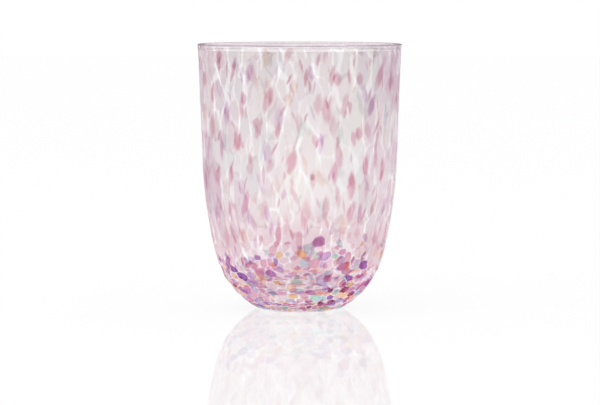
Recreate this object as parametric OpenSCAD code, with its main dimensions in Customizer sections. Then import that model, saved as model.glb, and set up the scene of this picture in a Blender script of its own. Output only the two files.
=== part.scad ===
// Hand-blown tumbler: a clear inner gather, chips of coloured glass laid on it, and the clear
// outer gather that closes the spaces between the chips. The foot stands on z = 0.

/* [Outline] */
// Height from the foot to the rim
height = 104; // [90:1:140]
// Diameter across the rim
rim_d = 80; // [70:1:100]
// Lean of the straight wall from upright, in degrees
wall_lean = 2; // [0.5:0.5:5]
// Length of the straight wall below the rim
straight_wall = 44; // [24:1:52]
// Diameter of the ground foot
foot_d = 32; // [26:1:38]
// Slope of the outside where it leaves the foot, in degrees
foot_slope = 28; // [16:1:34]
// How much longer the curve of the side is than the curve of the base
side_share = 1.3; // [1:0.1:2]

/* [Inside] */
// Thickness of the glass below the lip
rim_wall = 1.6; // [1.4:0.1:2.1]
// Width across the lip
lip_width = 2.4; // [2.3:0.1:3.2]
// Height of the lip, whose edges are round
lip_height = 0.9; // [0.7:0.1:1.2]
// Lean of the straight inside wall from upright, in degrees
inner_lean = 2.2; // [1:0.2:4]
// Length of the straight inside wall
inner_straight = 44; // [26:1:50]
// Thickness of the base at its middle
base_wall = 6; // [5:0.5:10]
// Diameter of the flat in the middle of the inside floor
floor_d = 16; // [8:1:20]
// How much longer the curve of the inside wall is than the curve of the floor
inner_share = 1.4; // [1:0.1:1.6]

/* [Underside] */
// Diameter of the hollow under the foot
punt_d = 20; // [14:1:21]
// Depth of the hollow under the foot
punt_depth = 0.8; // [0.5:0.1:1.5]

/* [Colour layer] */
// Thickness of the chips and of the clear glass between them
layer = 0.5; // [0.3:0.05:0.7]
// Height of the plain lip above the colour layer
plain_lip = 1.5; // [1.3:0.1:4]
// Height of the plain foot below the colour layer
plain_foot = 0.8; // [0.6:0.1:2]
// Number of chips round the glass in each row
chips_around = 26; // [20:1:30]
// Number of rows of chips from the foot to the lip
chip_rows = 13; // [11:1:15]
// Height of a row near the foot as a share of a row's height on the wall
base_row_share = 0.35; // [0.3:0.01:0.45]
// Share of the rows that stay small
dense_share = 0.42; // [0.3:0.02:0.5]
// Share of the rows in which they grow to full size
growing_share = 0.35; // [0.2:0.05:0.45]
// Clear glass kept between the chips and the plain lip and foot
edge_vein = 0.4; // [0.3:0.05:0.8]
// Number of the chance layout
layout_seed = 31; // [1:1:99]

/* [Hidden] */
$fn = 160;
// Straight steps in each lower arc and each upper arc of an outline
base_bands = 9;
side_bands = 4;
// How far every cut runs past what it cuts
overrun = 0.4;
// A chip's size as a share of its space, least and most, near the foot and on the wall
fill_shares = [[0.8, 0.92], [0.76, 0.93]];
// How far the points of a space reach into the next row, as a share of a row's height
point_share = 0.17;
// How far a corner may slip, as shares of a row's height and of a space's width
slip_shares = [0.13, 0.12];
// Rings of chips under the foot: their number, and their size as a share of the rings' step
punt_rings = 3;
punt_fill_shares = [0.7, 0.86];
// What each colour takes of the chips near the foot and on the wall
//                   pale  rose magenta plum violet lilac peach amber aqua  mint
base_colour_shares = [0.16, 0.13, 0.13, 0.09, 0.13, 0.08, 0.09, 0.06, 0.08, 0.05];
wall_colour_shares = [0.56, 0.27, 0.03, 0.00, 0.01, 0.05, 0.03, 0.01, 0.02, 0.02];

// Unit vector at an angle above level, outwards
function way(a) = [cos(a), sin(a)];
// Control length of the lower of two arcs that join two points with known directions
function lower_reach(v, t1, t2, share) =
    let (a = 2 * share * (t1 * t2 - 1), b = -2 * (v * (share * t1 + t2)), c = v * v)
    (-b - sqrt(b * b - 4 * a * c)) / (2 * a);
// Two arcs down from a to b: [upper centre, upper radius, lower centre, lower radius, angles]
function two_arcs(a, lean, b, slope, share) =
    let (t1 = way(-90 - lean), t2 = way(180 + slope), d2 = lower_reach(b - a, t1, t2, share),
         d1 = share * d2, q1 = a + d1 * t1, q2 = b - d2 * t2, u = q2 - q1,
         join = atan2(-u[0], -u[1]),
         r1 = d1 / tan((join - lean) / 2), r2 = d2 / tan((90 - slope - join) / 2))
    [a - r1 * way(-lean), r1, b - r2 * way(slope - 90), r2, [lean, join, 90 - slope]];

// The outside: the straight wall ends at wall_foot and the two arcs lead on to the foot's edge
lip_r = rim_d / 2 - lip_width / 2;
wall_top = [lip_r + rim_wall / 2, height - lip_height / 2];
wall_foot = wall_top + straight_wall * way(-90 - wall_lean);
outside = two_arcs(wall_foot, wall_lean, [foot_d / 2, 0], foot_slope, side_share);
// The inside, the same way, down to the flat of the floor
inner_top = [lip_r - rim_wall / 2, height - lip_height / 2];
inner_foot = inner_top + inner_straight * way(-90 - inner_lean);
inside = two_arcs(inner_foot, inner_lean, [floor_d / 2, base_wall], 0, inner_share);
punt_r = (punt_d * punt_d / 4 + punt_depth * punt_depth) / (2 * punt_depth);

// Points along two arcs from the foot up, drawn in by inset
function arc_points(arcs, inset) = [
    for (i = [0 : base_bands])
        arcs[2] + (arcs[3] - inset) * way(-(arcs[4][2] + (arcs[4][1] - arcs[4][2]) * i / base_bands)),
    for (i = [1 : side_bands])
        arcs[0] + (arcs[1] - inset) * way(-(arcs[4][1] + (arcs[4][0] - arcs[4][1]) * i / side_bands))];

// Lengths along the outside from the foot: lower arc, upper arc, straight wall
lower_run = outside[3] * (outside[4][2] - outside[4][1]) * PI / 180;
upper_run = outside[1] * (outside[4][1] - outside[4][0]) * PI / 180;
// Radius, height and angle of the outside at a length s from the foot
function spot(s) =
    s < lower_run ?
        let (a = -(outside[4][2] - s / outside[3] * 180 / PI), p = outside[2] + outside[3] * way(a))
        [p[0], p[1], a]
    : s < lower_run + upper_run ?
        let (a = -(outside[4][1] - (s - lower_run) / outside[1] * 180 / PI),
             p = outside[0] + outside[1] * way(a))
        [p[0], p[1], a]
    :   let (p = wall_foot + (s - lower_run - upper_run) * way(90 - wall_lean))
        [p[0], p[1], -wall_lean];

// Rows of chips: they start above the plain foot and end below the plain lip
first_s = outside[3] * PI / 180
    * (outside[4][2] + asin((plain_foot + edge_vein - outside[2][1]) / outside[3]));
last_s = lower_run + upper_run
    + (height - plain_lip - edge_vein - wall_foot[1]) / cos(wall_lean);
function growth(i) = min(1, max(0, (i / (chip_rows - 1) - dense_share) / growing_share));
function between(a, b, share) = a + (b - a) * share;
function sum_of_first(n, v) = n == 0 ? 0 : v[n - 1] + sum_of_first(n - 1, v);
row_shares = [for (i = [0 : chip_rows - 1]) between(base_row_share, 1, growth(i))];
full_row_h = (last_s - first_s) / sum_of_first(chip_rows, row_shares);
row_starts = [for (j = [0 : chip_rows]) first_s + full_row_h * sum_of_first(j, row_shares)];

// Chance numbers of each row, and of the line below it: two a corner, then three a chip
corners_around = 2 * chips_around;
luck = [for (i = [0 : chip_rows])
    rands(0, 1, 2 * corners_around + 3 * chips_around, layout_seed + i)];

// Corner m on the zigzag line j between two rows: [turn, length from the foot]
function corner(j, m) =
    let (edge = j == 0 || j == chip_rows, w = 2 * ((m + corners_around) % corners_around),
         h = full_row_h * row_shares[max(0, j - 1)],
         reach = (m - j) % 2 == 0 ? -point_share : point_share,
         slip = [for (i = [0, 1]) slip_shares[i] * (2 * luck[j][w + i] - 1)])
    [180 / chips_around * (m + 2 * slip[1]), row_starts[j] + (edge ? 0 : h * (reach + slip[0]))];

function pick(u, shares, i = 0) =
    i == len(shares) - 1 || u < shares[i] ? i : pick(u - shares[i], shares, i + 1);
function mixed_shares(g) =
    [for (i = [0 : len(base_colour_shares) - 1])
        between(base_colour_shares[i], wall_colour_shares[i], g)];

// A corner seen square on from a chip's middle: [down, sideways]
function seen(c, place, turn) =
    let (p = spot(c[1]), out = p[0] * cos(c[0] - turn) - place[0])
    [out * sin(place[2]) - (p[1] - place[1]) * cos(place[2]), p[0] * sin(c[0] - turn)];

// Every chip of the side: [turn, radius, height, angle, colour, outline]
side_chips = [
    for (i = [0 : chip_rows - 1])
        for (k = [0 : chips_around - 1])
            let (m = 2 * k + i % 2, turn = 180 / chips_around * m,
                 place = spot((row_starts[i] + row_starts[i + 1]) / 2), g = growth(i),
                 v = [for (w = [0 : 2]) luck[i][2 * corners_around + 3 * k + w]],
                 fill = [for (u = [v[0], v[1]])
                     between(between(fill_shares[0][0], fill_shares[1][0], g),
                             between(fill_shares[0][1], fill_shares[1][1], g), u)],
                 ring = [corner(i, m - 1), corner(i, m), corner(i, m + 1),
                         corner(i + 1, m + 1), corner(i + 1, m), corner(i + 1, m - 1)])
            [turn, place[0], place[1], place[2], pick(v[2], mixed_shares(g)),
             [for (c = ring) let (q = seen(c, place, turn)) [q[0] * fill[0], q[1] * fill[1]]]]];

// The chips in the hollow under the foot, in rings round its middle, as in side_chips
punt_rim = punt_d / 2 - plain_foot;
punt_step = punt_rim / (punt_rings - 1 / 2);
function punt_height(r) = punt_depth - punt_r + sqrt(punt_r * punt_r - r * r);
punt_chips = [
    for (i = [0 : punt_rings - 1])
        let (r = i * punt_step, n = max(1, 6 * i))
        for (k = [0 : n - 1])
            let (v = [for (w = [0 : 6]) luck[i][7 * k + w]])
            [360 * k / n, r, punt_height(r), -90, pick(v[6], base_colour_shares),
             [for (c = [0 : 5])
                 punt_step / 2 * between(punt_fill_shares[0], punt_fill_shares[1], v[c])
                     * way(60 * c)]]];
chips = concat(side_chips, punt_chips);

module outer_outline(inset) {
    points = arc_points(outside, inset);
    top = wall_top - inset * way(-wall_lean);
    polygon([[0, 0], [points[0][0], 0], each points, top, [0, top[1]]]);
}

module between_heights(low, high)
    translate([0, low]) square([rim_d, high - low]);

module punt_ball(extra)
    intersection() {
        translate([0, punt_depth - punt_r]) circle(punt_r + extra);
        translate([0, -punt_r]) square([rim_d, 2 * punt_r]);
    }

// The colour layer: a skin on the side, and another in the hollow under the foot
module skin_outline() {
    intersection() {
        difference() {
            outer_outline(0);
            outer_outline(layer);
        }
        between_heights(plain_foot, height - plain_lip);
    }
    intersection() {
        difference() {
            punt_ball(layer);
            punt_ball(0);
        }
        square([punt_rim, punt_depth + layer]);
    }
}

module cavity_outline() {
    points = arc_points(inside, 0);
    polygon([[0, base_wall], each points, inner_top, [inner_top[0], height + overrun],
             [0, height + overrun]]);
}

module lip_outline() {
    flat = lip_width - lip_height;
    for (side = [-1, 1])
        translate([lip_r + side * flat / 2, height - lip_height / 2]) circle(d = lip_height);
    translate([lip_r - flat / 2, height - lip_height]) square([flat, lip_height]);
}

// One chip's outline drawn straight through the colour layer
module chip_cut(chip)
    rotate([0, 0, chip[0]]) translate([chip[1], 0, chip[2]]) rotate([0, 90 - chip[3], 0])
        translate([0, 0, -layer - overrun]) linear_extrude(layer + 2 * overrun)
            polygon(chip[5]);

module chips_of(colour)
    intersection() {
        rotate_extrude() skin_outline();
        union()
            for (chip = chips)
                if (chip[4] == colour) chip_cut(chip);
    }

module inner_gather()
    color([0.95, 0.96, 0.97]) rotate_extrude() {
        difference() {
            outer_outline(0);
            skin_outline();
            cavity_outline();
            punt_ball(0);
        }
        difference() {
            lip_outline();
            skin_outline();
        }
    }

module outer_gather()
    color([0.97, 0.94, 0.96])
        difference() {
            rotate_extrude() skin_outline();
            for (chip = chips) chip_cut(chip);
        }

module pale_pink_chips() color([0.93, 0.85, 0.87]) chips_of(0);
module rose_chips() color([0.88, 0.68, 0.74]) chips_of(1);
module magenta_chips() color([0.80, 0.42, 0.60]) chips_of(2);
module plum_chips() color([0.51, 0.16, 0.38]) chips_of(3);
module violet_chips() color([0.58, 0.33, 0.64]) chips_of(4);
module lilac_chips() color([0.80, 0.68, 0.84]) chips_of(5);
module peach_chips() color([0.94, 0.76, 0.62]) chips_of(6);
module amber_chips() color([0.92, 0.66, 0.38]) chips_of(7);
module aqua_chips() color([0.66, 0.80, 0.84]) chips_of(8);
module mint_chips() color([0.66, 0.83, 0.76]) chips_of(9);

inner_gather();
outer_gather();
pale_pink_chips();
rose_chips();
magenta_chips();
plum_chips();
violet_chips();
lilac_chips();
peach_chips();
amber_chips();
aqua_chips();
mint_chips();
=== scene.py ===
"""A hand-blown tumbler of clear glass with melted chips of coloured glass, on a glossy white table.

Sizes are in millimetres, and MM turns them into the scene's metres. Colours are linear.
"""

import math

import bpy
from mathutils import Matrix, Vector


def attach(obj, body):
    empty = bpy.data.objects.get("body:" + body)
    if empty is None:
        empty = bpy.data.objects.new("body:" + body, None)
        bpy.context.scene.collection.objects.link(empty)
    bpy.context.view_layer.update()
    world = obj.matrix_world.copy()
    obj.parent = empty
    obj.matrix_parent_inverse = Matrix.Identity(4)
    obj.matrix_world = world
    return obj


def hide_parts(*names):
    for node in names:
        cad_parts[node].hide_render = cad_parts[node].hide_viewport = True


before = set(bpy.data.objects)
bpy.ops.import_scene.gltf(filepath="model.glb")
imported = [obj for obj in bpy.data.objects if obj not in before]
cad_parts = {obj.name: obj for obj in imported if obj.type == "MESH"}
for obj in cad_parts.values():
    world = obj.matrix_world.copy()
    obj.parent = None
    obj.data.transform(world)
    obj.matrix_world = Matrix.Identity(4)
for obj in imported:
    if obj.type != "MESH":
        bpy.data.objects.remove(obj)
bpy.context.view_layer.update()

MM = 0.001

# The tumbler's own sizes. Leans and slopes are in degrees, and a share is how long the upper of
# two curves runs against the lower one
HEIGHT = 104
RIM_D = 80
WALL_LEAN = 2
STRAIGHT_WALL = 44
FOOT_D = 32
FOOT_SLOPE = 28
SIDE_SHARE = 1.3
RIM_WALL = 1.6
LIP_WIDTH = 2.4
LIP_HEIGHT = 0.9
INNER_LEAN = 2.2
INNER_STRAIGHT = 44
BASE_WALL = 6
FLOOR_D = 16
INNER_SHARE = 1.4
PUNT_D = 20
PUNT_DEPTH = 0.8

# Where the lip's two round edges begin and end, in degrees above level outwards
LIP_START = -80
LIP_END = 260

# The painted shade line on the lip: how far its two faces stand off the glass, and where it ends
RIM_SHADE_FACES = (0.06, 0.02)
RIM_SHADE_START = -25
RIM_SHADE_END = 140

# How many steps each stretch of the outline has, and how many there are round the glass
PUNT_STEPS = 8
FOOT_STEPS = 5
BASE_STEPS = 28
SIDE_STEPS = 24
WALL_STEPS = 28
LIP_EDGE_STEPS = 8
LIP_TOP_STEPS = 3
INNER_SIDE_STEPS = 20
INNER_BASE_STEPS = 24
FLOOR_STEPS = 4
RIM_SHADE_OUTER_STEPS = 7
RIM_SHADE_INNER_STEPS = 3
STEPS_ROUND = 192

# The slow waves that blowing leaves in the wall: none at the foot, and full a little above it
BLOWN_WALL = {
    "Steps round": STEPS_ROUND, "Wave depth": 0.35 * MM, "Wave scale": 60.0, "Wave seed": 2.0,
}
WAVE_STRETCH = 0.35
WAVE_DETAIL = 1.5
WAVES_FROM = 2 * MM
WAVES_FULL = 14 * MM

# Points that lie this close become one
GLASS_MERGE = 0.001 * MM
CHIP_MERGE = 0.0005 * MM

# Each colour of chip: the colours of its fused chips and of its melted ovals, and its shares of
# the dense chips near the foot, of the scattered chips above those, and of the ovals
MAIN_COLOUR = "pale_pink"
CHIP_COLOURS = {
    MAIN_COLOUR: (
        [(0.86, 0.72, 0.77), (0.90, 0.80, 0.83), (0.87, 0.75, 0.79)],
        [],
        0.32, 0.0, 0.0,
    ),
    "rose": (
        [(0.82, 0.50, 0.60), (0.86, 0.58, 0.66), (0.80, 0.46, 0.58)],
        [(0.91, 0.70, 0.76), (0.87, 0.61, 0.69), (0.94, 0.79, 0.82)],
        0.15, 0.04, 0.60,
    ),
    "magenta": ([(0.74, 0.34, 0.54), (0.79, 0.42, 0.61)], [(0.88, 0.62, 0.73)], 0.08, 0.03, 0.04),
    "plum": ([(0.36, 0.10, 0.24), (0.46, 0.16, 0.33)], [], 0.03, 0.0, 0.0),
    "violet": ([(0.45, 0.22, 0.54), (0.58, 0.36, 0.66)], [(0.85, 0.68, 0.85)], 0.08, 0.03, 0.05),
    "lilac": ([(0.72, 0.58, 0.78), (0.66, 0.54, 0.72)], [(0.88, 0.76, 0.87)], 0.10, 0.02, 0.12),
    "peach": ([(0.94, 0.74, 0.60), (0.92, 0.71, 0.63)], [(0.97, 0.86, 0.79)], 0.06, 0.02, 0.12),
    "amber": ([(0.92, 0.58, 0.29), (0.90, 0.63, 0.38)], [], 0.07, 0.01, 0.0),
    "aqua": ([(0.54, 0.72, 0.77), (0.62, 0.76, 0.81)], [(0.84, 0.89, 0.91)], 0.08, 0.01, 0.04),
    "mint": ([(0.52, 0.77, 0.66), (0.62, 0.81, 0.73)], [(0.86, 0.91, 0.88)], 0.03, 0.0, 0.02),
}

# The main colour's chips up the wall, from white to the most coloured. The most coloured ones
# are drawn to the glass's left and right edges as painted shade
WALL_COLOURS = [
    (0.985, 0.98, 0.98),
    (0.965, 0.955, 0.95),
    (0.96, 0.935, 0.935),
    (0.955, 0.93, 0.915),
    (0.935, 0.895, 0.905),
    (0.895, 0.885, 0.885),
    (0.90, 0.84, 0.86),
    (0.875, 0.815, 0.85),
    (0.84, 0.745, 0.79),
    (0.81, 0.73, 0.775),
]

# The heights over which base colours become wall colours, and over which colours get this tint
WALL_BLEND = (23, 41)
UPPER_BLEND = (50, 95)
UPPER_TINT = (0.93, 0.92, 0.925)

# The share of a chip, from its rim inwards, over which its colour comes up
CRISP_EDGE = 0.12
WALL_EDGE = 0.16
SOFT_EDGE = 0.55

# How the fused chips lie. Around and Rows count them, and Start, End and Free to are shares of the
# outline's length. Lowest row is the first row's share of a plain one, and Growth is the power by
# which rows grow upwards. Slip and Warp move a chip alone and with its neighbours, fill and reach
# size it, and Clump says how much of its shade it has from its neighbours. The share after Clump
# draws chips at the glass's left and right edges towards darker shades, as painted shade
BASE_TILES = {
    "Around": 44, "Rows": 11, "Start": 0.014, "End": 0.28, "Lowest row": 0.7, "Growth": 2.0,
    "Free to": 0.95, "Slip": 0.46, "Warp": 1.0, "Least fill": 0.82, "Most fill": 1.1,
    "Least reach": 0.95, "Most reach": 1.2, "Ragged": 0.35, "Sharpness": 1.0, "Edge": 0.2,
    "Clump": 0.1, "Side shade": 0.0, "Seed": 12, "Base rows": 7.5, "Wall rows": 9.5,
    "Depth": 0.06 * MM, "Proud": 0.1 * MM,
}
WALL_TILES = {
    "Around": 30, "Rows": 7, "Start": 0.21, "End": 1.12, "Lowest row": 0.55, "Growth": 1.6,
    "Free to": 0.975, "Slip": 0.46, "Warp": 1.6, "Least fill": 0.78, "Most fill": 1.15,
    "Least reach": 1.0, "Most reach": 1.35, "Ragged": 0.5, "Sharpness": 0.35, "Edge": 0.2,
    "Clump": 0.5, "Side shade": 0.45, "Seed": 21, "Base rows": -3.0, "Wall rows": -2.0,
    "Depth": 0.06 * MM, "Proud": 0.2 * MM,
}
EVERY_TILE = {"Base from": 0.0, "Base to": 1.0, "Wall from": 0.0, "Wall to": 1.0}

# How the melted chips lie over them, and in the hollow under the foot. Spacing is the least room
# between two, Stretch draws it out upwards, and Blur makes the zone from Low to High ragged. A chip
# with many corners is round, Point draws out its ends, and Tilt and Lean are in radians
WALL_OVALS = {
    "Spacing": 7.6 * MM, "Stretch": 1.7, "Low": 24 * MM, "High": 101 * MM, "Blur": 4 * MM,
    "Seed": 8, "Length": 15.0 * MM, "Width": 5.2 * MM, "Size range": 0.6, "Tilt": 0.2,
    "Lean": -0.13, "Corners": 24.0, "Point": 0.3, "Ragged": 2.2 * MM,
    "Depth": 0.06 * MM, "Proud": 0.3 * MM,
}
WALL_SPLINTERS = {
    **WALL_OVALS, "Stretch": 1.4, "Low": 20 * MM, "Seed": 31, "Length": 9.0 * MM,
    "Width": 2.0 * MM, "Tilt": 0.35, "Ragged": 1.2 * MM, "Proud": 0.38 * MM,
}
FOOT_CHIPS = {
    "Spacing": 4.0 * MM, "Stretch": 1.0, "Low": -1 * MM, "High": 5 * MM, "Blur": 0.0,
    "Seed": 5, "Length": 4.4 * MM, "Width": 4.4 * MM, "Size range": 0.3, "Tilt": 3.14,
    "Lean": 0.0, "Corners": 6.0, "Point": 0.0, "Ragged": 1.0 * MM,
    "Depth": 0.3 * MM, "Proud": 0.02 * MM,
}
BASE_CRUMBS = {
    **FOOT_CHIPS, "Spacing": 6.0 * MM, "Low": 6 * MM, "High": 20 * MM, "Blur": 10 * MM,
    "Seed": 47, "Length": 5.6 * MM, "Size range": 0.6, "Corners": 4.0,
    "Depth": 0.06 * MM, "Proud": 0.3 * MM,
}

# Each random draw adds a number of its own to the seed
CHIP_DRAWS = {"pick": 0, "tilt": 11, "length": 23, "width": 37, "colour": 53}
TILE_DRAWS = {"slip round": 1, "slip up": 2, "pick": 3, "colour": 4, "fill": 5, "reach": 6}

# The mesh of one melted chip, and how many points fall on a square metre before they are thinned
CHIP_SEGMENTS = 12
CHIP_RINGS = 4
CHIP_RADIUS = 0.5
CHIP_DENSITY = 400000.0

# The flat grid that the fused chips begin as: its spare columns and rows and its rows' distance
SPARE_COLUMNS = 3
SPARE_ROWS = 2
ROW_STEP = math.sqrt(0.75)

# How far the slow drift that neighbours share goes either way
CLUMP_REACH = 0.22

# How many points of the lip the chips reach up to
CHIPS_UP_LIP = 3

# The noise behind each uneven thing
FRINGE_NOISE = {"Scale": 90.0, "Detail": 1.0}
CHIP_EDGE_NOISE = {"Scale": 420.0, "Detail": 2.0}
TILE_EDGE_NOISE = {"Scale": 2.6, "Detail": 1.0}
DRIFT_NOISE = {"Scale": 0.31, "Detail": 0.0}
FINE_WAVE_NOISE = {"Scale": 140.0, "Detail": 2.0}
RIM_SHADE_NOISE = {"Scale": 90.0, "Detail": 2.0}

# The clear glass: its tint in the wall, painted shade in the lip, and the fine waves of its surface
CLEAR_IOR = 1.48
CLEAR_TINT = (0.99, 0.985, 0.99)
RIM_GLASS_SHADE_TINT = (0.97, 0.945, 0.96)
RIM_GLASS_SHADE_BLEND = (HEIGHT - 1.2, HEIGHT - 0.7)
FINE_WAVE_STRETCH = 0.3
FINE_WAVE_STRENGTH = 0.12
FINE_WAVE_DEPTH = 0.3 * MM

# The coloured glass bends no light, because it is one with the clear glass that does
CHIP_IOR = 1.0
# The painted shade line on the lip: its two grey tints and the noise shares that mix them
RIM_SHADE_TINTS = ((0.63, 0.56, 0.60), (0.75, 0.68, 0.72))
RIM_SHADE_BLEND = (0.35, 0.65)

# The table: how much of it is plain white and how much mirrors. Its reach is in metres
TABLE_TOP = -0.02 * MM
TABLE_REACH = 4
TABLE_PLAIN = 0.86
TABLE_MIRROR = 0.25
TABLE_MATT = (0.93, 0.93, 0.93)
WHITE = (1, 1, 1)

# The lamp, in metres and watts
LAMP_PLACE = Vector((-0.7, -0.5, 0.9))
LAMP_AIM = Vector((0, 0, 0.05))
LAMP_SIZE = 0.6
LAMP_POWER = 2.0

# Light that is caught inside the wall for long still comes out
LIGHT_BOUNCES = 300

# The photograph's frame and the camera that took it
PHOTO_W = 600
PHOTO_H = 405
CAMERA_DISTANCE = 1020
CAMERA_HEIGHT = 124.6
PIXELS_PER_MM = 2.549
FOOT_MIDDLE_PIXEL = (299.6, 307.5)
SENSOR = 36


def way(degrees):
    """Unit vector at an angle above level, outwards."""
    return Vector((math.cos(math.radians(degrees)), math.sin(math.radians(degrees))))


def two_arcs(upper, lean, lower, slope, share):
    """Two arcs down from one point to another: each one's centre, radius, first and last angle."""
    down, inwards = way(-90 - lean), way(180 + slope)
    reach = lower - upper
    a = 2 * share * (down.dot(inwards) - 1)
    b = -2 * reach.dot(share * down + inwards)
    c = reach.dot(reach)
    short = (-b - math.sqrt(b * b - 4 * a * c)) / (2 * a)
    corner_1 = upper + share * short * down
    corner_2 = lower - short * inwards
    run = corner_2 - corner_1
    join = math.degrees(math.atan2(-run.x, -run.y))
    radius_1 = share * short / math.tan(math.radians(join - lean) / 2)
    radius_2 = short / math.tan(math.radians(90 - slope - join) / 2)
    return (
        (upper - radius_1 * way(-lean), radius_1, -lean, -join),
        (lower - radius_2 * way(slope - 90), radius_2, -join, slope - 90),
    )


def arc(centre, radius, start, end, steps):
    """Points along an arc, without its first one."""
    return [
        centre + radius * way(start + (end - start) * (i + 1) / steps)
        for i in range(steps)
    ]


def line(start, end, steps):
    """Points along a straight line, without its first one."""
    return [start.lerp(end, (i + 1) / steps) for i in range(steps)]


def outer_profile():
    """The outside from the middle of the hollow under the foot to the plain lip."""
    wall_top = Vector((RIM_D / 2 - LIP_WIDTH / 2 + RIM_WALL / 2, HEIGHT - LIP_HEIGHT / 2))
    wall_foot = wall_top + STRAIGHT_WALL * way(-90 - WALL_LEAN)
    under_lip = wall_top + LIP_HEIGHT / 2 * way(-90 - WALL_LEAN)
    foot_edge = Vector((FOOT_D / 2, 0))
    side, base = two_arcs(wall_foot, WALL_LEAN, foot_edge, FOOT_SLOPE, SIDE_SHARE)
    punt_r = (PUNT_D**2 / 4 + PUNT_DEPTH**2) / (2 * PUNT_DEPTH)
    punt_half = math.degrees(math.asin(PUNT_D / 2 / punt_r))
    points = [Vector((0, PUNT_DEPTH))]
    points += arc(Vector((0, PUNT_DEPTH - punt_r)), punt_r, 90, 90 - punt_half, PUNT_STEPS)
    points += line(points[-1], foot_edge, FOOT_STEPS)
    points += arc(base[0], base[1], base[3], base[2], BASE_STEPS)
    points += arc(side[0], side[1], side[3], side[2], SIDE_STEPS)
    points += line(wall_foot, under_lip, WALL_STEPS)
    return points


def lip_edges():
    """The middles of the lip's round outer edge and of its inner one."""
    outer_edge = Vector((RIM_D / 2 - LIP_HEIGHT / 2, HEIGHT - LIP_HEIGHT / 2))
    return outer_edge, outer_edge - Vector((LIP_WIDTH - LIP_HEIGHT, 0))


def lip_points():
    """The lip from outside to inside: its edges are round and its top is flat."""
    outer_edge, inner_edge = lip_edges()
    points = arc(outer_edge, LIP_HEIGHT / 2, LIP_START, 90, LIP_EDGE_STEPS)
    points += line(points[-1], inner_edge + Vector((0, LIP_HEIGHT / 2)), LIP_TOP_STEPS)
    return points + arc(inner_edge, LIP_HEIGHT / 2, 90, LIP_END, LIP_EDGE_STEPS)


def rim_shade_line():
    """A thin closed line of painted shade over the lip's top and the upper part of its round edges.
    """
    outer_edge, inner_edge = lip_edges()
    faces = []
    for gap in RIM_SHADE_FACES:
        up = arc(outer_edge, LIP_HEIGHT / 2 + gap, RIM_SHADE_START, 90, RIM_SHADE_OUTER_STEPS)
        over = arc(inner_edge, LIP_HEIGHT / 2 + gap, 90, RIM_SHADE_END, RIM_SHADE_INNER_STEPS)
        faces.append(up + over)
    return faces[0] + faces[1][::-1] + faces[0][:1]


def inner_profile():
    """The inside from the lip down to the middle of the floor."""
    wall_top = Vector((RIM_D / 2 - LIP_WIDTH / 2 - RIM_WALL / 2, HEIGHT - LIP_HEIGHT / 2))
    wall_foot = wall_top + INNER_STRAIGHT * way(-90 - INNER_LEAN)
    under_lip = wall_top + LIP_HEIGHT / 2 * way(-90 - INNER_LEAN)
    floor_edge = Vector((FLOOR_D / 2, BASE_WALL))
    side, base = two_arcs(wall_foot, INNER_LEAN, floor_edge, 0, INNER_SHARE)
    points = [under_lip] + line(under_lip, wall_foot, WALL_STEPS)
    points += arc(*side, INNER_SIDE_STEPS)
    points += arc(*base, INNER_BASE_STEPS)
    points += line(floor_edge, Vector((0, BASE_WALL)), FLOOR_STEPS)
    return points


def wire(tree, kind, inputs=None, **settings):
    """Adds a node, sets it, and links or sets its inputs, named or numbered."""
    node = tree.nodes.new(kind)
    for name, value in settings.items():
        setattr(node, name, value)
    for key, value in (inputs or {}).items():
        if isinstance(value, bpy.types.NodeSocket):
            tree.links.new(value, node.inputs[key])
        else:
            node.inputs[key].default_value = value
    return node


def maths(tree, operation, *values):
    """A Math node's result."""
    return wire(tree, "ShaderNodeMath", dict(enumerate(values)), operation=operation).outputs[0]


def vector_maths(tree, operation, *values):
    """A Vector Math node's vector."""
    node = wire(tree, "ShaderNodeVectorMath", dict(enumerate(values)), operation=operation)
    return node.outputs["Vector"]


def scaled(tree, vector, amount):
    """A vector made longer or shorter."""
    node = wire(tree, "ShaderNodeVectorMath", {0: vector, "Scale": amount}, operation="SCALE")
    return node.outputs["Vector"]


def combined(tree, **parts):
    """A vector from its X, Y and Z."""
    return wire(tree, "ShaderNodeCombineXYZ", parts).outputs[0]


def parts_of(tree, vector):
    """A vector's X, Y and Z."""
    return wire(tree, "ShaderNodeSeparateXYZ", {0: vector}).outputs


def mixed(tree, low, high, share):
    """A number between two others."""
    return wire(
        tree, "ShaderNodeMapRange", {"Value": share, "To Min": low, "To Max": high}
    ).outputs["Result"]


def share_of(tree, value, low, high, ease="LINEAR"):
    """How far a value is on its way from low, where this is 0, up to high, where it is 1."""
    inputs = {"Value": value, "From Min": low, "From Max": high}
    return wire(tree, "ShaderNodeMapRange", inputs, interpolation_type=ease).outputs["Result"]


def between(tree, value, low, high):
    """1 where a value lies from low up to high, and 0 elsewhere."""
    above = maths(tree, "SUBTRACT", 1, maths(tree, "LESS_THAN", value, low))
    return maths(tree, "MULTIPLY", above, maths(tree, "LESS_THAN", value, high))


def noise(tree, place, settings, seed=None):
    """Noise from 0 to 1: Fac is a plain number and Color is three."""
    inputs = {"Vector": place, **settings}
    if seed is None:
        return wire(tree, "ShaderNodeTexNoise", inputs).outputs
    return wire(tree, "ShaderNodeTexNoise", {**inputs, "W": seed}, noise_dimensions="4D").outputs


def shaken(tree, place, settings, seed=None):
    """A vector of noise about 0."""
    return vector_maths(
        tree, "SUBTRACT", noise(tree, place, settings, seed)["Color"], (0.5, 0.5, 0.5)
    )


def turn_of(tree, steps, around):
    """The angle of a number of steps, when this many go all round."""
    return maths(tree, "MULTIPLY", maths(tree, "DIVIDE", steps, around), math.tau)


def turned(tree, place, angle):
    """A place turned about the tumbler's axis."""
    inputs = {"Vector": place, "Axis": (0, 0, 1), "Angle": angle}
    return wire(tree, "ShaderNodeVectorRotate", inputs, rotation_type="AXIS_ANGLE").outputs[0]


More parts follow.
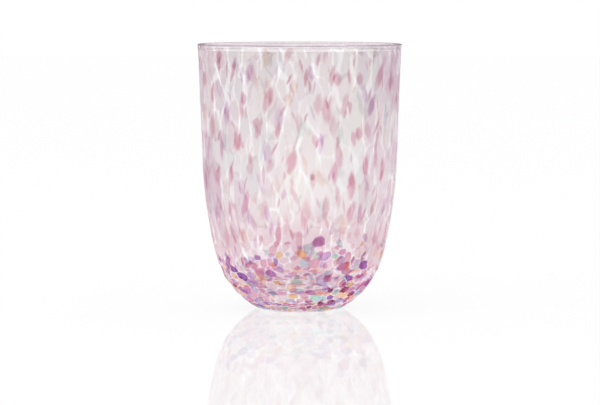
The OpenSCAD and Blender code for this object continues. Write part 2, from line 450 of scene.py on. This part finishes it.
def new_tree(name, **inputs):
    """An empty geometry tree with the names of its inputs by kind, and its input sockets."""
    tree = bpy.data.node_groups.new(name, "GeometryNodeTree")
    tree.interface.new_socket("Geometry", in_out="INPUT", socket_type="NodeSocketGeometry")
    for kind, labels in inputs.items():
        for label in labels:
            tree.interface.new_socket(label, in_out="INPUT", socket_type="NodeSocket" + kind)
    tree.interface.new_socket("Geometry", in_out="OUTPUT", socket_type="NodeSocketGeometry")
    return tree, tree.nodes.new("NodeGroupInput").outputs


def ended(tree, geometry, given, smooth):
    """The tree's last nodes: smooth or flat faces, real geometry and the material."""
    shaded = wire(
        tree, "GeometryNodeSetShadeSmooth", {"Geometry": geometry, "Shade Smooth": smooth}
    ).outputs[0]
    real = wire(tree, "GeometryNodeRealizeInstances", {"Geometry": shaded}).outputs[0]
    made = wire(
        tree, "GeometryNodeSetMaterial", {"Geometry": real, "Material": given["Material"]}
    ).outputs[0]
    wire(tree, "NodeGroupOutput", {0: made})


def mesh_of(tree, source):
    """The mesh of an object that the tree is given."""
    return wire(tree, "GeometryNodeObjectInfo", {"Object": source}).outputs["Geometry"]


def spot_of(tree):
    """The place of each point."""
    return wire(tree, "GeometryNodeInputPosition").outputs[0]


def moved(tree, geometry, **places):
    """Geometry with its points put at a Position, moved by an Offset, or both."""
    return wire(tree, "GeometryNodeSetPosition", {"Geometry": geometry, **places}).outputs[0]


def merged(tree, geometry, distance):
    """Geometry whose close points become one."""
    return wire(
        tree, "GeometryNodeMergeByDistance", {"Geometry": geometry, "Distance": distance}
    ).outputs[0]


def skin_normal(tree, skin):
    """The way that the nearest stretch of the skin faces."""
    return wire(
        tree,
        "GeometryNodeSampleNearestSurface",
        {"Mesh": skin, "Value": wire(tree, "GeometryNodeInputNormal").outputs[0]},
        data_type="FLOAT_VECTOR",
    ).outputs["Value"]


def store(tree, geometry, name, value, domain="POINT"):
    """Keeps a number with the mesh under a name."""
    return wire(
        tree,
        "GeometryNodeStoreNamedAttribute",
        {"Geometry": geometry, "Name": name, "Value": value},
        data_type="FLOAT",
        domain=domain,
    ).outputs[0]


def kept(tree, name):
    """A number that was kept with the mesh."""
    node = wire(tree, "GeometryNodeInputNamedAttribute", {"Name": name}, data_type="FLOAT")
    return node.outputs["Attribute"]


def drawn(tree, given, draw, low, high, own=None):
    """A random number for each point, or for each number of its own."""
    seed = maths(tree, "ADD", given["Seed"], draw)
    inputs = {"Min": low, "Max": high, "Seed": seed}
    if own is not None:
        inputs["ID"] = own
    return wire(tree, "FunctionNodeRandomValue", inputs, data_type="FLOAT").outputs["Value"]


def blown_tree():
    """Turns an outline about the axis and gives its walls the slow waves of blown glass."""
    tree, given = new_tree(
        "blown_wall",
        Object=["Outline"],
        Int=["Steps round"],
        Float=["Wave depth", "Wave scale", "Wave seed"],
        Material=["Material"],
    )
    chain = mesh_of(tree, given["Outline"])
    size = wire(tree, "GeometryNodeAttributeDomainSize", {0: chain}, component="MESH")
    rows = size.outputs["Point Count"]
    columns = maths(tree, "ADD", given["Steps round"], 1)
    grid = wire(tree, "GeometryNodeMeshGrid", {"Vertices X": columns, "Vertices Y": rows})
    index = wire(tree, "GeometryNodeInputIndex").outputs[0]
    row = maths(tree, "MODULO", index, rows)
    column = maths(tree, "FLOOR", maths(tree, "DIVIDE", index, rows))
    on_outline = wire(
        tree,
        "GeometryNodeSampleIndex",
        {"Geometry": chain, "Value": spot_of(tree), "Index": row},
        data_type="FLOAT_VECTOR",
        domain="POINT",
    ).outputs["Value"]
    place = turned(tree, on_outline, turn_of(tree, column, given["Steps round"]))
    closed = merged(tree, moved(tree, grid.outputs["Mesh"], Position=place), GLASS_MERGE)
    spot = spot_of(tree)
    stretched = vector_maths(tree, "MULTIPLY", spot, (1, 1, WAVE_STRETCH))
    settings = {"Scale": given["Wave scale"], "Detail": WAVE_DETAIL}
    waves = noise(tree, stretched, settings, given["Wave seed"])["Fac"]
    wave = maths(tree, "MULTIPLY", maths(tree, "SUBTRACT", waves, 0.5), given["Wave depth"])
    rise = share_of(tree, parts_of(tree, spot)["Z"], WAVES_FROM, WAVES_FULL, "SMOOTHSTEP")
    outwards = vector_maths(tree, "NORMALIZE", vector_maths(tree, "MULTIPLY", spot, (1, 1, 0)))
    shift = scaled(tree, outwards, maths(tree, "MULTIPLY", wave, rise))
    ended(tree, moved(tree, closed, Offset=shift), given, True)
    return tree


def laid_down(tree, geometry, skin, given):
    """Drops a mesh onto the skin. Its lens attribute gives each point's height in the chip."""
    nearest = wire(
        tree, "GeometryNodeProximity", {"Geometry": skin}, target_element="FACES"
    ).outputs["Position"]
    below = maths(tree, "SUBTRACT", kept(tree, "lens"), 1)
    sunk = maths(tree, "MULTIPLY", below, maths(tree, "DIVIDE", given["Depth"], 2))
    lift = scaled(tree, skin_normal(tree, skin), maths(tree, "ADD", sunk, given["Proud"]))
    return moved(tree, geometry, Position=nearest, Offset=lift)


def chip_shape(tree, given):
    """One chip as a flat lens: its outline is round, pointed or cornered. It is 1 long and wide."""
    ball = wire(
        tree,
        "GeometryNodeMeshUVSphere",
        {"Segments": CHIP_SEGMENTS, "Rings": CHIP_RINGS, "Radius": CHIP_RADIUS},
    )
    spot = spot_of(tree)
    part = parts_of(tree, spot)
    flat = vector_maths(tree, "MULTIPLY", spot, (1 / CHIP_RADIUS, 1 / CHIP_RADIUS, 0))
    ring = wire(tree, "ShaderNodeVectorMath", {0: flat}, operation="LENGTH").outputs["Value"]
    melt = store(tree, ball.outputs["Mesh"], "melt", maths(tree, "SUBTRACT", 1, ring))
    lens = store(tree, melt, "lens", maths(tree, "MULTIPLY", part["Z"], 1 / CHIP_RADIUS))
    turn = maths(tree, "ARCTAN2", part["Y"], part["X"])
    step = maths(tree, "DIVIDE", math.tau, given["Corners"])
    half_step = maths(tree, "DIVIDE", step, 2)
    in_step = maths(tree, "SUBTRACT", maths(tree, "FLOORED_MODULO", turn, step), half_step)
    cornered = maths(
        tree, "DIVIDE", maths(tree, "COSINE", half_step), maths(tree, "COSINE", in_step)
    )
    beside = maths(tree, "ABSOLUTE", maths(tree, "SINE", turn))
    pointed = maths(tree, "POWER", beside, given["Point"])
    wide = maths(tree, "MULTIPLY", maths(tree, "MULTIPLY", part["Y"], cornered), pointed)
    outline = combined(tree, X=maths(tree, "MULTIPLY", part["X"], cornered), Y=wide)
    return moved(tree, lens, Position=outline)


def chip_places(tree, given, skin):
    """Points on the skin between two ragged heights, further apart upwards than round it."""
    squash = combined(tree, X=1, Y=1, Z=maths(tree, "DIVIDE", 1, given["Stretch"]))
    squashed = wire(tree, "GeometryNodeTransform", {"Geometry": skin, "Scale": squash}).outputs[0]
    spot = spot_of(tree)
    height = maths(tree, "MULTIPLY", parts_of(tree, spot)["Z"], given["Stretch"])
    fringe = maths(tree, "SUBTRACT", noise(tree, spot, FRINGE_NOISE)["Fac"], 0.5)
    ragged_height = maths(tree, "ADD", height, maths(tree, "MULTIPLY", fringe, given["Blur"]))
    points = wire(
        tree,
        "GeometryNodeDistributePointsOnFaces",
        {
            "Mesh": squashed,
            "Distance Min": given["Spacing"],
            "Density Max": CHIP_DENSITY,
            "Density Factor": between(tree, ragged_height, given["Low"], given["High"]),
            "Seed": given["Seed"],
        },
        distribute_method="POISSON",
    ).outputs["Points"]
    stretch = combined(tree, X=1, Y=1, Z=given["Stretch"])
    return moved(tree, points, Position=vector_maths(tree, "MULTIPLY", spot, stretch))


def chip_turn(tree, given, skin):
    """Lays a chip flat in the skin with its length upright, and tilts it by chance."""
    facing = wire(
        tree, "FunctionNodeAlignRotationToVector", {"Vector": skin_normal(tree, skin)}, axis="Z"
    ).outputs[0]
    upright = wire(
        tree,
        "FunctionNodeAlignRotationToVector",
        {"Rotation": facing, "Vector": (0, 0, 1)},
        axis="X",
        pivot_axis="Z",
    ).outputs[0]
    chance = drawn(tree, given, CHIP_DRAWS["tilt"], -1.0, 1.0)
    tilt = maths(tree, "MULTIPLY", chance, given["Tilt"])
    lean = combined(tree, Z=maths(tree, "ADD", tilt, given["Lean"]))
    return wire(
        tree,
        "FunctionNodeRotateRotation",
        {"Rotation": upright, "Rotate By": lean},
        rotation_space="LOCAL",
    ).outputs[0]


def chip_size(tree, given):
    """A chip's length and width, each between its least share and the whole."""
    least = maths(tree, "SUBTRACT", 1, given["Size range"])
    grow = drawn(tree, given, CHIP_DRAWS["length"], least, 1.0)
    thin = drawn(tree, given, CHIP_DRAWS["width"], least, 1.0)
    length = maths(tree, "MULTIPLY", given["Length"], grow)
    return combined(tree, X=length, Y=maths(tree, "MULTIPLY", given["Width"], thin), Z=1)


def chips_tree():
    """Scatters melted chips over a surface and lays each one down in it."""
    tree, given = new_tree(
        "melted_chips",
        Object=["Surface"],
        Int=["Seed"],
        Float=[
            "Spacing", "Stretch", "Low", "High", "Blur", "Share from", "Share to", "Length",
            "Width", "Size range", "Tilt", "Lean", "Corners", "Point", "Ragged", "Depth", "Proud",
        ],
        Material=["Material"],
    )
    skin = mesh_of(tree, given["Surface"])
    pick = drawn(tree, given, CHIP_DRAWS["pick"], 0.0, 1.0)
    scattered = wire(
        tree,
        "GeometryNodeInstanceOnPoints",
        {
            "Points": chip_places(tree, given, skin),
            "Selection": between(tree, pick, given["Share from"], given["Share to"]),
            "Instance": chip_shape(tree, given),
            "Rotation": chip_turn(tree, given, skin),
            "Scale": chip_size(tree, given),
        },
    ).outputs[0]
    chance = drawn(tree, given, CHIP_DRAWS["colour"], 0.0, 1.0)
    coloured = store(tree, scattered, "chance", chance, "INSTANCE")
    real = wire(tree, "GeometryNodeRealizeInstances", {"Geometry": coloured}).outputs[0]
    shift = scaled(tree, shaken(tree, spot_of(tree), CHIP_EDGE_NOISE), given["Ragged"])
    ended(tree, laid_down(tree, moved(tree, real, Offset=shift), skin, given), given, False)
    return tree


def slow_drift(tree, given, level, row):
    """Three numbers about 0 that change slowly over the wall, and have no seam."""
    turn = turn_of(tree, level, given["Around"])
    wide = maths(tree, "DIVIDE", given["Around"], math.tau)
    place = combined(
        tree,
        X=maths(tree, "MULTIPLY", maths(tree, "COSINE", turn), wide),
        Y=maths(tree, "MULTIPLY", maths(tree, "SINE", turn), wide),
        Z=row,
    )
    return shaken(tree, place, DRIFT_NOISE, given["Seed"])


def uneven_honeycomb(tree, given):
    """Flat cells that meet, shaken out of line. Each keeps its number, row, column and drift."""
    columns = maths(tree, "ADD", given["Around"], SPARE_COLUMNS)
    rows = maths(tree, "ADD", given["Rows"], SPARE_ROWS)
    grid = wire(tree, "GeometryNodeMeshGrid", {"Vertices X": columns, "Vertices Y": rows})
    index = wire(tree, "GeometryNodeInputIndex").outputs[0]
    row = maths(tree, "MODULO", index, rows)
    column = maths(tree, "SUBTRACT", maths(tree, "FLOOR", maths(tree, "DIVIDE", index, rows)), 1)
    once_round = maths(tree, "FLOORED_MODULO", column, given["Around"])
    own = maths(tree, "ADD", maths(tree, "MULTIPLY", once_round, rows), row)
    half = maths(tree, "MULTIPLY", maths(tree, "MODULO", row, 2), 0.5)
    level = maths(tree, "ADD", column, half)
    drift = parts_of(tree, slow_drift(tree, given, level, row))
    slips = []
    for draw, axis in (("slip round", "X"), ("slip up", "Y")):
        slip = drawn(tree, given, TILE_DRAWS[draw], -1.0, 1.0, own)
        alone = maths(tree, "MULTIPLY", slip, given["Slip"])
        slips.append(maths(tree, "ADD", alone, maths(tree, "MULTIPLY", drift[axis], given["Warp"])))
    along = maths(tree, "ADD", level, slips[0])
    up = maths(tree, "ADD", maths(tree, "SUBTRACT", row, 0.5), slips[1])
    middle = combined(tree, X=along, Y=maths(tree, "MULTIPLY", up, ROW_STEP))
    cells = moved(tree, grid.outputs["Mesh"], Position=middle)
    for name, value in (("own", own), ("column", column), ("clump", drift["Z"]), ("row", row)):
        cells = store(tree, cells, name, value)
    split = wire(
        tree, "GeometryNodeTriangulate", {0: cells}, quad_method="SHORTEST_DIAGONAL"
    ).outputs[0]
    return wire(tree, "GeometryNodeDualMesh", {0: split, "Keep Boundaries": False}).outputs[0]


def cells_of_colour(tree, given, cells):
    """The cells whose draw falls in the colour's share, each with its luck among the shades, which
    leans dark at the glass's left and right edges as painted shade.
    """
    own, column = kept(tree, "own"), kept(tree, "column")
    pick = drawn(tree, given, TILE_DRAWS["pick"], 0.0, 1.0, own)
    rise = share_of(tree, kept(tree, "row"), given["Base rows"], given["Wall rows"])
    low = mixed(tree, given["Base from"], given["Wall from"], rise)
    high = mixed(tree, given["Base to"], given["Wall to"], rise)
    once = between(tree, column, -0.5, maths(tree, "SUBTRACT", given["Around"], 0.5))
    wanted = maths(tree, "MULTIPLY", between(tree, pick, low, high), once)
    unwanted = maths(tree, "SUBTRACT", 1, wanted)
    ours = wire(
        tree,
        "GeometryNodeDeleteGeometry",
        {"Geometry": cells, "Selection": unwanted},
        domain="FACE",
    ).outputs[0]
    own_luck = drawn(tree, given, TILE_DRAWS["colour"], 0.0, 1.0, own)
    shared_luck = share_of(tree, kept(tree, "clump"), -CLUMP_REACH, CLUMP_REACH)
    clumped_luck = mixed(tree, own_luck, shared_luck, given["Clump"])
    # Chips at the glass's left and right edges take the darker shades: painted shade of those edges
    facing = turn_of(tree, column, given["Around"])
    painted_side_shade = maths(tree, "ABSOLUTE", maths(tree, "COSINE", facing))
    return store(tree, ours, "luck", mixed(tree, clumped_luck, painted_side_shade, given["Side shade"]), "FACE")


def sized_cells(tree, given, cells):
    """Cells cut apart, each grown or shrunk by chance and then drawn upwards."""
    own = kept(tree, "own")
    fill, reach = [
        drawn(tree, given, TILE_DRAWS[size], given["Least " + size], given["Most " + size], own)
        for size in ("fill", "reach")
    ]
    apart = wire(tree, "GeometryNodeSplitEdges", {0: cells}).outputs[0]
    filled = wire(
        tree, "GeometryNodeScaleElements", {"Geometry": apart, "Scale": fill}, domain="FACE"
    ).outputs[0]
    return wire(
        tree,
        "GeometryNodeScaleElements",
        {"Geometry": filled, "Scale": reach, "Axis": (0, 1, 0)},
        domain="FACE",
        scale_mode="SINGLE_AXIS",
    ).outputs[0]


def rounded_lenses(tree, given, cells):
    """Each cell as a rounded, closed lens with a thin edge. It stays flat until it is laid down."""
    rounder = wire(tree, "GeometryNodeSubdivideMesh", {0: cells, "Level": 1}).outputs[0]
    faces = wire(tree, "GeometryNodeInputMeshEdgeNeighbors").outputs[0]
    rim = store(tree, rounder, "rim", maths(tree, "LESS_THAN", faces, 2), "EDGE")
    on_rim = maths(tree, "SIGN", kept(tree, "rim"))
    melt = store(tree, rim, "melt", maths(tree, "SUBTRACT", 1, on_rim))
    fine = wire(
        tree,
        "GeometryNodeSubdivisionSurface",
        {0: melt, "Level": 1, "Vertex Crease": given["Sharpness"]},
    ).outputs[0]
    thick = mixed(tree, given["Edge"], 1, maths(tree, "SQRT", kept(tree, "melt")))
    raised = wire(
        tree, "GeometryNodeExtrudeMesh", {"Mesh": fine, "Offset Scale": 0.0, "Individual": False}
    ).outputs
    above = maths(tree, "SUBTRACT", maths(tree, "MULTIPLY", raised["Top"], 2), 1)
    upper = store(tree, raised["Mesh"], "lens", maths(tree, "MULTIPLY", thick, above))
    lower = store(tree, fine, "lens", maths(tree, "MULTIPLY", thick, -1))
    turned_over = wire(tree, "GeometryNodeFlipFaces", {0: lower}).outputs[0]
    both = wire(tree, "GeometryNodeJoinGeometry")
    tree.links.new(upper, both.inputs[0])
    tree.links.new(turned_over, both.inputs[0])
    return both.outputs[0]


def climb_of(tree, given, height):
    """How far up the outline a height in the flat grid lies: rows grow as they go up."""
    climbed = maths(tree, "DIVIDE", maths(tree, "DIVIDE", height, ROW_STEP), given["Rows"])
    steady = maths(tree, "MULTIPLY", climbed, given["Lowest row"])
    growing = maths(
        tree,
        "MULTIPLY",
        maths(tree, "POWER", maths(tree, "MAXIMUM", climbed, 0), given["Growth"]),
        maths(tree, "SUBTRACT", 1, given["Lowest row"]),
    )
    return wire(
        tree,
        "ShaderNodeMapRange",
        {
            "Value": maths(tree, "ADD", steady, growing),
            "To Min": given["Start"],
            "To Max": given["End"],
        },
        clamp=False,
    ).outputs["Result"]


def pressed_in(tree, given, climb):
    """Presses together what climbs past the free length, so that it ends under the lip."""
    over = maths(tree, "MAXIMUM", maths(tree, "SUBTRACT", climb, given["Free to"]), 0)
    room = maths(tree, "SUBTRACT", 1, given["Free to"])
    left = maths(tree, "EXPONENT", maths(tree, "MULTIPLY", maths(tree, "DIVIDE", over, room), -1))
    return maths(
        tree,
        "ADD",
        maths(tree, "MINIMUM", climb, given["Free to"]),
        maths(tree, "MULTIPLY", room, maths(tree, "SUBTRACT", 1, left)),
    )


def tiles_tree():
    """Chips that meet side by side: an uneven honeycomb that grows from the foot to the lip."""
    tree, given = new_tree(
        "fused_chips",
        Object=["Outline", "Surface"],
        Int=["Around", "Rows", "Seed"],
        Float=[
            "Start", "End", "Lowest row", "Growth", "Free to", "Warp", "Slip", "Least fill",
            "Most fill", "Least reach", "Most reach", "Ragged", "Sharpness", "Edge", "Clump",
            "Side shade", "Base rows", "Wall rows", "Base from", "Base to", "Wall from", "Wall to",
            "Depth", "Proud",
        ],
        Material=["Material"],
    )
    skin = mesh_of(tree, given["Surface"])
    outline = wire(tree, "GeometryNodeMeshToCurve", {0: mesh_of(tree, given["Outline"])}).outputs[0]
    cells = cells_of_colour(tree, given, uneven_honeycomb(tree, given))
    lenses = rounded_lenses(tree, given, sized_cells(tree, given, cells))
    spot = spot_of(tree)
    shift = scaled(tree, shaken(tree, spot, TILE_EDGE_NOISE), given["Ragged"])
    part = parts_of(tree, vector_maths(tree, "ADD", spot, shift))
    climb = pressed_in(tree, given, climb_of(tree, given, part["Y"]))
    on_outline = wire(
        tree, "GeometryNodeSampleCurve", {"Curves": outline, "Factor": climb}, mode="FACTOR"
    ).outputs["Position"]
    place = turned(tree, on_outline, turn_of(tree, part["X"], given["Around"]))
    round_glass = moved(tree, lenses, Position=place)
    coloured = store(tree, round_glass, "chance", kept(tree, "luck"))
    laid = laid_down(tree, coloured, skin, given)
    ended(tree, merged(tree, laid, CHIP_MERGE), given, False)
    return tree


def grown(name, tree, values):
    """A plain mesh object made by a geometry tree with these input values."""
    seed_mesh = bpy.data.objects.new(name + "_start", bpy.data.meshes.new(name + "_start"))
    bpy.context.scene.collection.objects.link(seed_mesh)
    modifier = seed_mesh.modifiers.new("grow", "NODES")
    modifier.node_group = tree
    sockets = {s.name: s.identifier for s in tree.interface.items_tree if s.in_out == "INPUT"}
    for label, value in values.items():
        modifier[sockets[label]] = value
    bpy.context.view_layer.update()
    graph = bpy.context.evaluated_depsgraph_get()
    mesh = bpy.data.meshes.new_from_object(seed_mesh.evaluated_get(graph), depsgraph=graph)
    bpy.data.objects.remove(seed_mesh)
    piece = bpy.data.objects.new(name, mesh)
    bpy.context.scene.collection.objects.link(piece)
    return piece


def outline_object(name, points):
    """A chain of edges that the geometry trees turn about the tumbler's axis."""
    mesh = bpy.data.meshes.new(name)
    edges = [(i, i + 1) for i in range(len(points) - 1)]
    mesh.from_pydata([(p.x * MM, 0, p.y * MM) for p in points], edges, [])
    chain = bpy.data.objects.new(name, mesh)
    bpy.context.scene.collection.objects.link(chain)
    return chain


def revolved(name, tree, points, **values):
    """An outline turned about the axis as blown glass."""
    outline = outline_object(name + "_outline", points)
    piece = grown(name, tree, {**BLOWN_WALL, "Outline": outline, **values})
    bpy.data.objects.remove(outline)
    return piece


def joined(name, parts):
    """One piece from several, in the first one's place. Empty ones go."""
    for part in [p for p in parts if not p.data.vertices]:
        bpy.data.objects.remove(part)
        parts.remove(part)
    with bpy.context.temp_override(active_object=parts[0], selected_editable_objects=parts):
        if len(parts) > 1:
            bpy.ops.object.join()
    parts[0].name = name
    parts[0].data.name = name
    return parts[0]


def new_material(name):
    """A material and its nodes."""
    material = bpy.data.materials.new(name)
    material.use_nodes = True
    return material, material.node_tree


def new_glass(name, ior):
    """A smooth glass: the material, its nodes and its own shader."""
    material, tree = new_material(name)
    shader = tree.nodes["Principled BSDF"]
    shader.inputs["Transmission Weight"].default_value = 1
    shader.inputs["Roughness"].default_value = 0
    shader.inputs["IOR"].default_value = ior
    return material, tree, shader


def object_spot(tree):
    """The place on the piece, which its patterns follow."""
    return wire(tree, "ShaderNodeTexCoord").outputs["Object"]


def height_share(tree, low, high):
    """0 below one height and 1 above another."""
    return share_of(tree, parts_of(tree, object_spot(tree))["Z"], low * MM, high * MM)


def colour_steps(tree, chance, colours):
    """One of the colours, by chance."""
    ramp = wire(tree, "ShaderNodeValToRGB", {"Fac": chance})
    ramp.color_ramp.interpolation = "CONSTANT"
    while len(ramp.color_ramp.elements) < len(colours):
        ramp.color_ramp.elements.new(1)
    for i, colour in enumerate(colours):
        ramp.color_ramp.elements[i].position = i / len(colours)
        ramp.color_ramp.elements[i].color = (*colour, 1)
    return ramp.outputs["Color"]


def colour_mix(tree, share, first, second):
    """Two colours mixed, each a socket or plain numbers."""
    node = wire(tree, "ShaderNodeMix", {"Factor": share}, data_type="RGBA")
    for socket, colour in zip([s for s in node.inputs if s.type == "RGBA"], (first, second)):
        if isinstance(colour, bpy.types.NodeSocket):
            tree.links.new(colour, socket)
        else:
            socket.default_value = (*colour, 1)
    return [s for s in node.outputs if s.type == "RGBA"][0]


def clear_glass():
    """Clear glass with a breath of grey, waved by blowing, and a darker tint in its lip as painted
    shade.
    """
    material, tree, shader = new_glass("clear_glass", CLEAR_IOR)
    tint = colour_mix(tree, height_share(tree, *RIM_GLASS_SHADE_BLEND), CLEAR_TINT, RIM_GLASS_SHADE_TINT)
    tree.links.new(tint, shader.inputs["Base Color"])
    stretched = vector_maths(tree, "MULTIPLY", object_spot(tree), (1, 1, FINE_WAVE_STRETCH))
    waves = noise(tree, stretched, FINE_WAVE_NOISE)["Fac"]
    depths = {"Height": waves, "Strength": FINE_WAVE_STRENGTH, "Distance": FINE_WAVE_DEPTH}
    bump = wire(tree, "ShaderNodeBump", depths).outputs[0]
    tree.links.new(bump, shader.inputs["Normal"])
    return material


def rim_shade_glass():
    """Painted shade: a thin grey tint round the lip for the rim's dark line, a little uneven."""
    material, tree, shader = new_glass("rim_shade_glass", CHIP_IOR)
    uneven = noise(tree, object_spot(tree), RIM_SHADE_NOISE)["Fac"]
    tint = colour_mix(tree, share_of(tree, uneven, *RIM_SHADE_BLEND), *RIM_SHADE_TINTS)
    tree.links.new(tint, shader.inputs["Base Color"])
    return material


def chip_glass(name, colours, edge, wall_colours=None):
    """See-through coloured glass: each chip takes one of the colours, and fades towards its rim."""
    material, tree, shader = new_glass(name, CHIP_IOR)
    chance = wire(tree, "ShaderNodeAttribute", attribute_name="chance").outputs["Fac"]
    melt = wire(tree, "ShaderNodeAttribute", attribute_name="melt").outputs["Fac"]
    on_wall = height_share(tree, *WALL_BLEND)
    colour = colour_steps(tree, chance, colours)
    if wall_colours:
        colour = colour_mix(tree, on_wall, colour, colour_steps(tree, chance, wall_colours))
    denser = colour_mix(tree, height_share(tree, *UPPER_BLEND), WHITE, UPPER_TINT)
    colour = vector_maths(tree, "MULTIPLY", colour, denser)
    wide_edge = mixed(tree, edge, max(edge, WALL_EDGE), on_wall)
    body = share_of(tree, melt, 0.0, wide_edge, "SMOOTHSTEP")
    tree.links.new(colour_mix(tree, body, WHITE, colour), shader.inputs["Base Color"])
    return material


def make_body(blown):
    """The clear glass with a line of painted shade on its lip. It stands for both clear gathers."""
    whole = outer_profile() + lip_points() + inner_profile()
    glass = revolved("clear_glass_body", blown, whole, Material=clear_glass())
    lip = revolved("lip_colour", blown, rim_shade_line(), Material=rim_shade_glass())
    lip.data.shade_flat()
    body = joined("clear_glass_body", [glass, lip])
    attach(body, "root")
    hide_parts("inner_gather", "outer_gather")


def chips_of_colour(colour, spans, skins, fused, melted):
    """All the chips of one colour as one piece. Its spans are where its shares start and end."""
    fused_colours, oval_colours = CHIP_COLOURS[colour][:2]
    base, loose, oval = spans
    name = colour + "_fused_chips"
    on_wall = WALL_COLOURS if colour == MAIN_COLOUR else None
    crisp = chip_glass(colour + "_glass", fused_colours, CRISP_EDGE, on_wall)
    shares = {"Base from": base[0], "Base to": base[1], "Wall from": loose[0], "Wall to": loose[1]}
    on_side = {"Surface": skins["side"], "Outline": skins["side line"], "Material": crisp}
    parts = [grown(name, fused, {**BASE_TILES, **shares, **on_side})]
    if colour == MAIN_COLOUR:
        parts.append(grown(name + "_wall", fused, {**WALL_TILES, **EVERY_TILE, **on_side}))
    shares = {"Share from": base[0], "Share to": base[1], "Material": crisp}
    for part, values, skin in (("_foot", FOOT_CHIPS, "hollow"), ("_crumbs", BASE_CRUMBS, "side")):
        parts.append(grown(name + part, melted, {**values, **shares, "Surface": skins[skin]}))
    if oval_colours:
        soft = chip_glass(colour + "_melted_glass", oval_colours, SOFT_EDGE)
        shares = {"Share from": oval[0], "Share to": oval[1], "Material": soft}
        for part, values in (("_ovals", WALL_OVALS), ("_splinters", WALL_SPLINTERS)):
            parts.append(grown(name + part, melted, {**values, **shares, "Surface": skins["side"]}))
    return joined(name, parts)


def make_chips(blown):
    """One piece for each colour of chip. The skins that the chips lie in go when these are made."""
    outside = outer_profile()
    side_line = outside[PUNT_STEPS + FOOT_STEPS :] + lip_points()[:CHIPS_UP_LIP]
    skins = {
        "side": revolved("side_skin", blown, side_line),
        "hollow": revolved("hollow_skin", blown, outside[: PUNT_STEPS + 1]),
        "side line": outline_object("side_outline", side_line),
    }
    fused, melted = tiles_tree(), chips_tree()
    starts = (0.0, 0.0, 0.0)
    for colour, (_, _, *shares) in CHIP_COLOURS.items():
        ends = [start + share for start, share in zip(starts, shares)]
        piece = chips_of_colour(colour, list(zip(starts, ends)), skins, fused, melted)
        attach(piece, "root")
        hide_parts(colour + "_chips")
        starts = ends
    for helper in skins.values():
        bpy.data.objects.remove(helper)


def background_rays(tree):
    """1 for the rays that see the background straight, in a mirror or through glass."""
    path = wire(tree, "ShaderNodeLightPath").outputs
    seen = maths(tree, "MAXIMUM", path["Is Camera Ray"], path["Is Glossy Ray"])
    return maths(tree, "MAXIMUM", seen, path["Is Transmission Ray"])


def white_table():
    """Mostly plain white, with a soft shadow and a weak mirror image."""
    material, tree = new_material("white_table")
    tree.nodes.remove(tree.nodes["Principled BSDF"])
    white = wire(tree, "ShaderNodeEmission", {"Color": (*WHITE, 1), "Strength": 1.0}).outputs[0]
    matt = wire(tree, "ShaderNodeBsdfDiffuse", {"Color": (*TABLE_MATT, 1)}).outputs[0]
    mirror = wire(
        tree, "ShaderNodeBsdfAnisotropic", {"Color": (*WHITE, 1), "Roughness": 0.0}
    ).outputs[0]
    plain = maths(tree, "MULTIPLY", background_rays(tree), TABLE_PLAIN)
    ground = wire(tree, "ShaderNodeMixShader", {0: plain, 1: matt, 2: white}).outputs[0]
    top = wire(tree, "ShaderNodeMixShader", {0: TABLE_MIRROR, 1: ground, 2: mirror}).outputs[0]
    tree.links.new(top, tree.nodes["Material Output"].inputs["Surface"])
    return material


def make_table():
    """A flat table top just under the foot."""
    mesh = bpy.data.meshes.new("table_top")
    corners = ((-1, -1), (1, -1), (1, 1), (-1, 1))
    places = [(x * TABLE_REACH, y * TABLE_REACH, TABLE_TOP) for x, y in corners]
    mesh.from_pydata(places, [], [(0, 1, 2, 3)])
    table = bpy.data.objects.new("table_top", mesh)
    bpy.context.scene.collection.objects.link(table)
    mesh.materials.append(white_table())


def make_world():
    """White light from all round."""
    world = bpy.data.worlds.new("white_studio")
    world.use_nodes = True
    bpy.context.scene.world = world
    world.node_tree.nodes["Background"].inputs["Color"].default_value = (*WHITE, 1)
    world.node_tree.nodes["Background"].inputs["Strength"].default_value = 1.0


def make_lamp():
    """A weak lamp high on the left, in front."""
    lamp = bpy.data.lights.new("left_lamp", "AREA")
    lamp.size = LAMP_SIZE
    lamp.energy = LAMP_POWER
    holder = bpy.data.objects.new("left_lamp", lamp)
    holder.location = LAMP_PLACE
    holder.rotation_euler = (LAMP_AIM - LAMP_PLACE).to_track_quat("-Z", "Y").to_euler()
    bpy.context.scene.collection.objects.link(holder)


def make_camera():
    """The camera where the photograph's was: far away, and a little above the rim."""
    focal_pixels = PIXELS_PER_MM * CAMERA_DISTANCE
    lens = bpy.data.cameras.new("camera")
    lens.sensor_width = SENSOR
    lens.lens = focal_pixels / PHOTO_W * SENSOR
    camera = bpy.data.objects.new("camera", lens)
    bpy.context.scene.collection.objects.link(camera)
    below = math.atan(CAMERA_HEIGHT / CAMERA_DISTANCE)
    pitch = below - math.atan((FOOT_MIDDLE_PIXEL[1] - PHOTO_H / 2) / focal_pixels)
    beside = (PHOTO_W / 2 - FOOT_MIDDLE_PIXEL[0]) / PIXELS_PER_MM
    camera.location = (beside * MM, -CAMERA_DISTANCE * MM, CAMERA_HEIGHT * MM)
    camera.rotation_euler = (math.pi / 2 - pitch, 0, 0)
    bpy.context.scene.camera = camera


blown = blown_tree()
make_body(blown)
make_chips(blown)
make_table()
make_world()
make_lamp()
make_camera()
bpy.context.scene.view_settings.view_transform = "Standard"
for rays in ("max", "transmission", "glossy", "diffuse"):
    setattr(bpy.context.scene.cycles, rays + "_bounces", LIGHT_BOUNCES)
bpy.context.scene.cycles.transparent_max_bounces = LIGHT_BOUNCES
